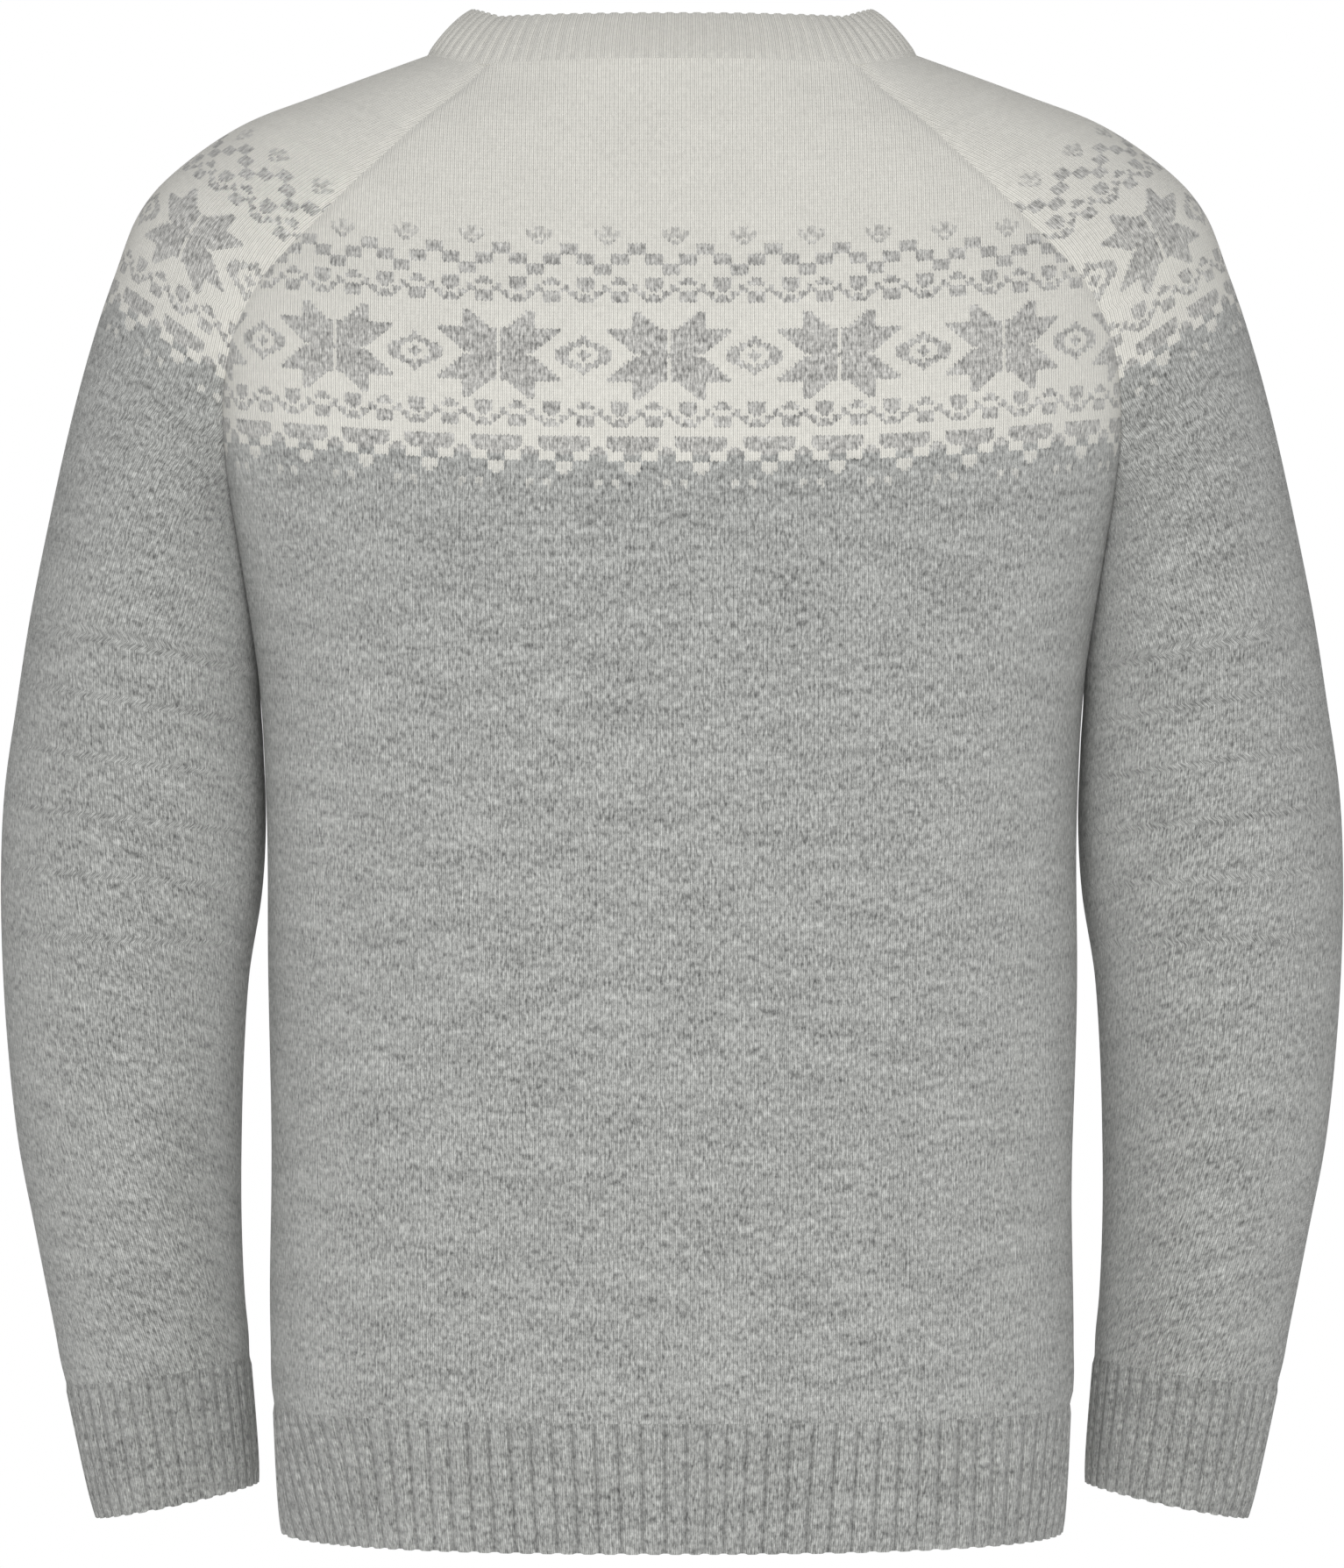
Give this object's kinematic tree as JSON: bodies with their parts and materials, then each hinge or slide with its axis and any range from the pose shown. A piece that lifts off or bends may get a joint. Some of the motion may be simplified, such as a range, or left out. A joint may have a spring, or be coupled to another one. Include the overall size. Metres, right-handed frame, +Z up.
{
  "type": "raglan pullover sweater, worn and hollow",
  "caption": "Knitted raglan pullover with a nordic star and flower pattern round its yoke, ribbed neckband, cuffs and hem, in its worn, hollow form.",
  "frame": {"origin": "middle of the neck's base, level with the back neck seam, where the wearer's neck and shoulders hold the garment", "axes": "+Z up along the body, +Y towards the wearer's back, +X towards the wearer's left arm"},
  "size_m": [0.6062, 0.2329, 0.6834],
  "materials": {
    "body_knit": "matt jersey-knitted lambswool, heather grey with a cream yoke",
    "cream_rib": "matt ribbed lambswool, cream",
    "grey_rib": "matt ribbed lambswool, heather grey"
  },
  "bodies": {
    "root": {"back": "body_knit", "front": "body_knit", "sleeve_left": "body_knit", "sleeve_right": "body_knit", "neckband": "cream_rib", "hem_rib_back": "grey_rib", "hem_rib_front": "grey_rib", "cuff_left": "grey_rib", "cuff_right": "grey_rib"}
  },
  "joints": []
}
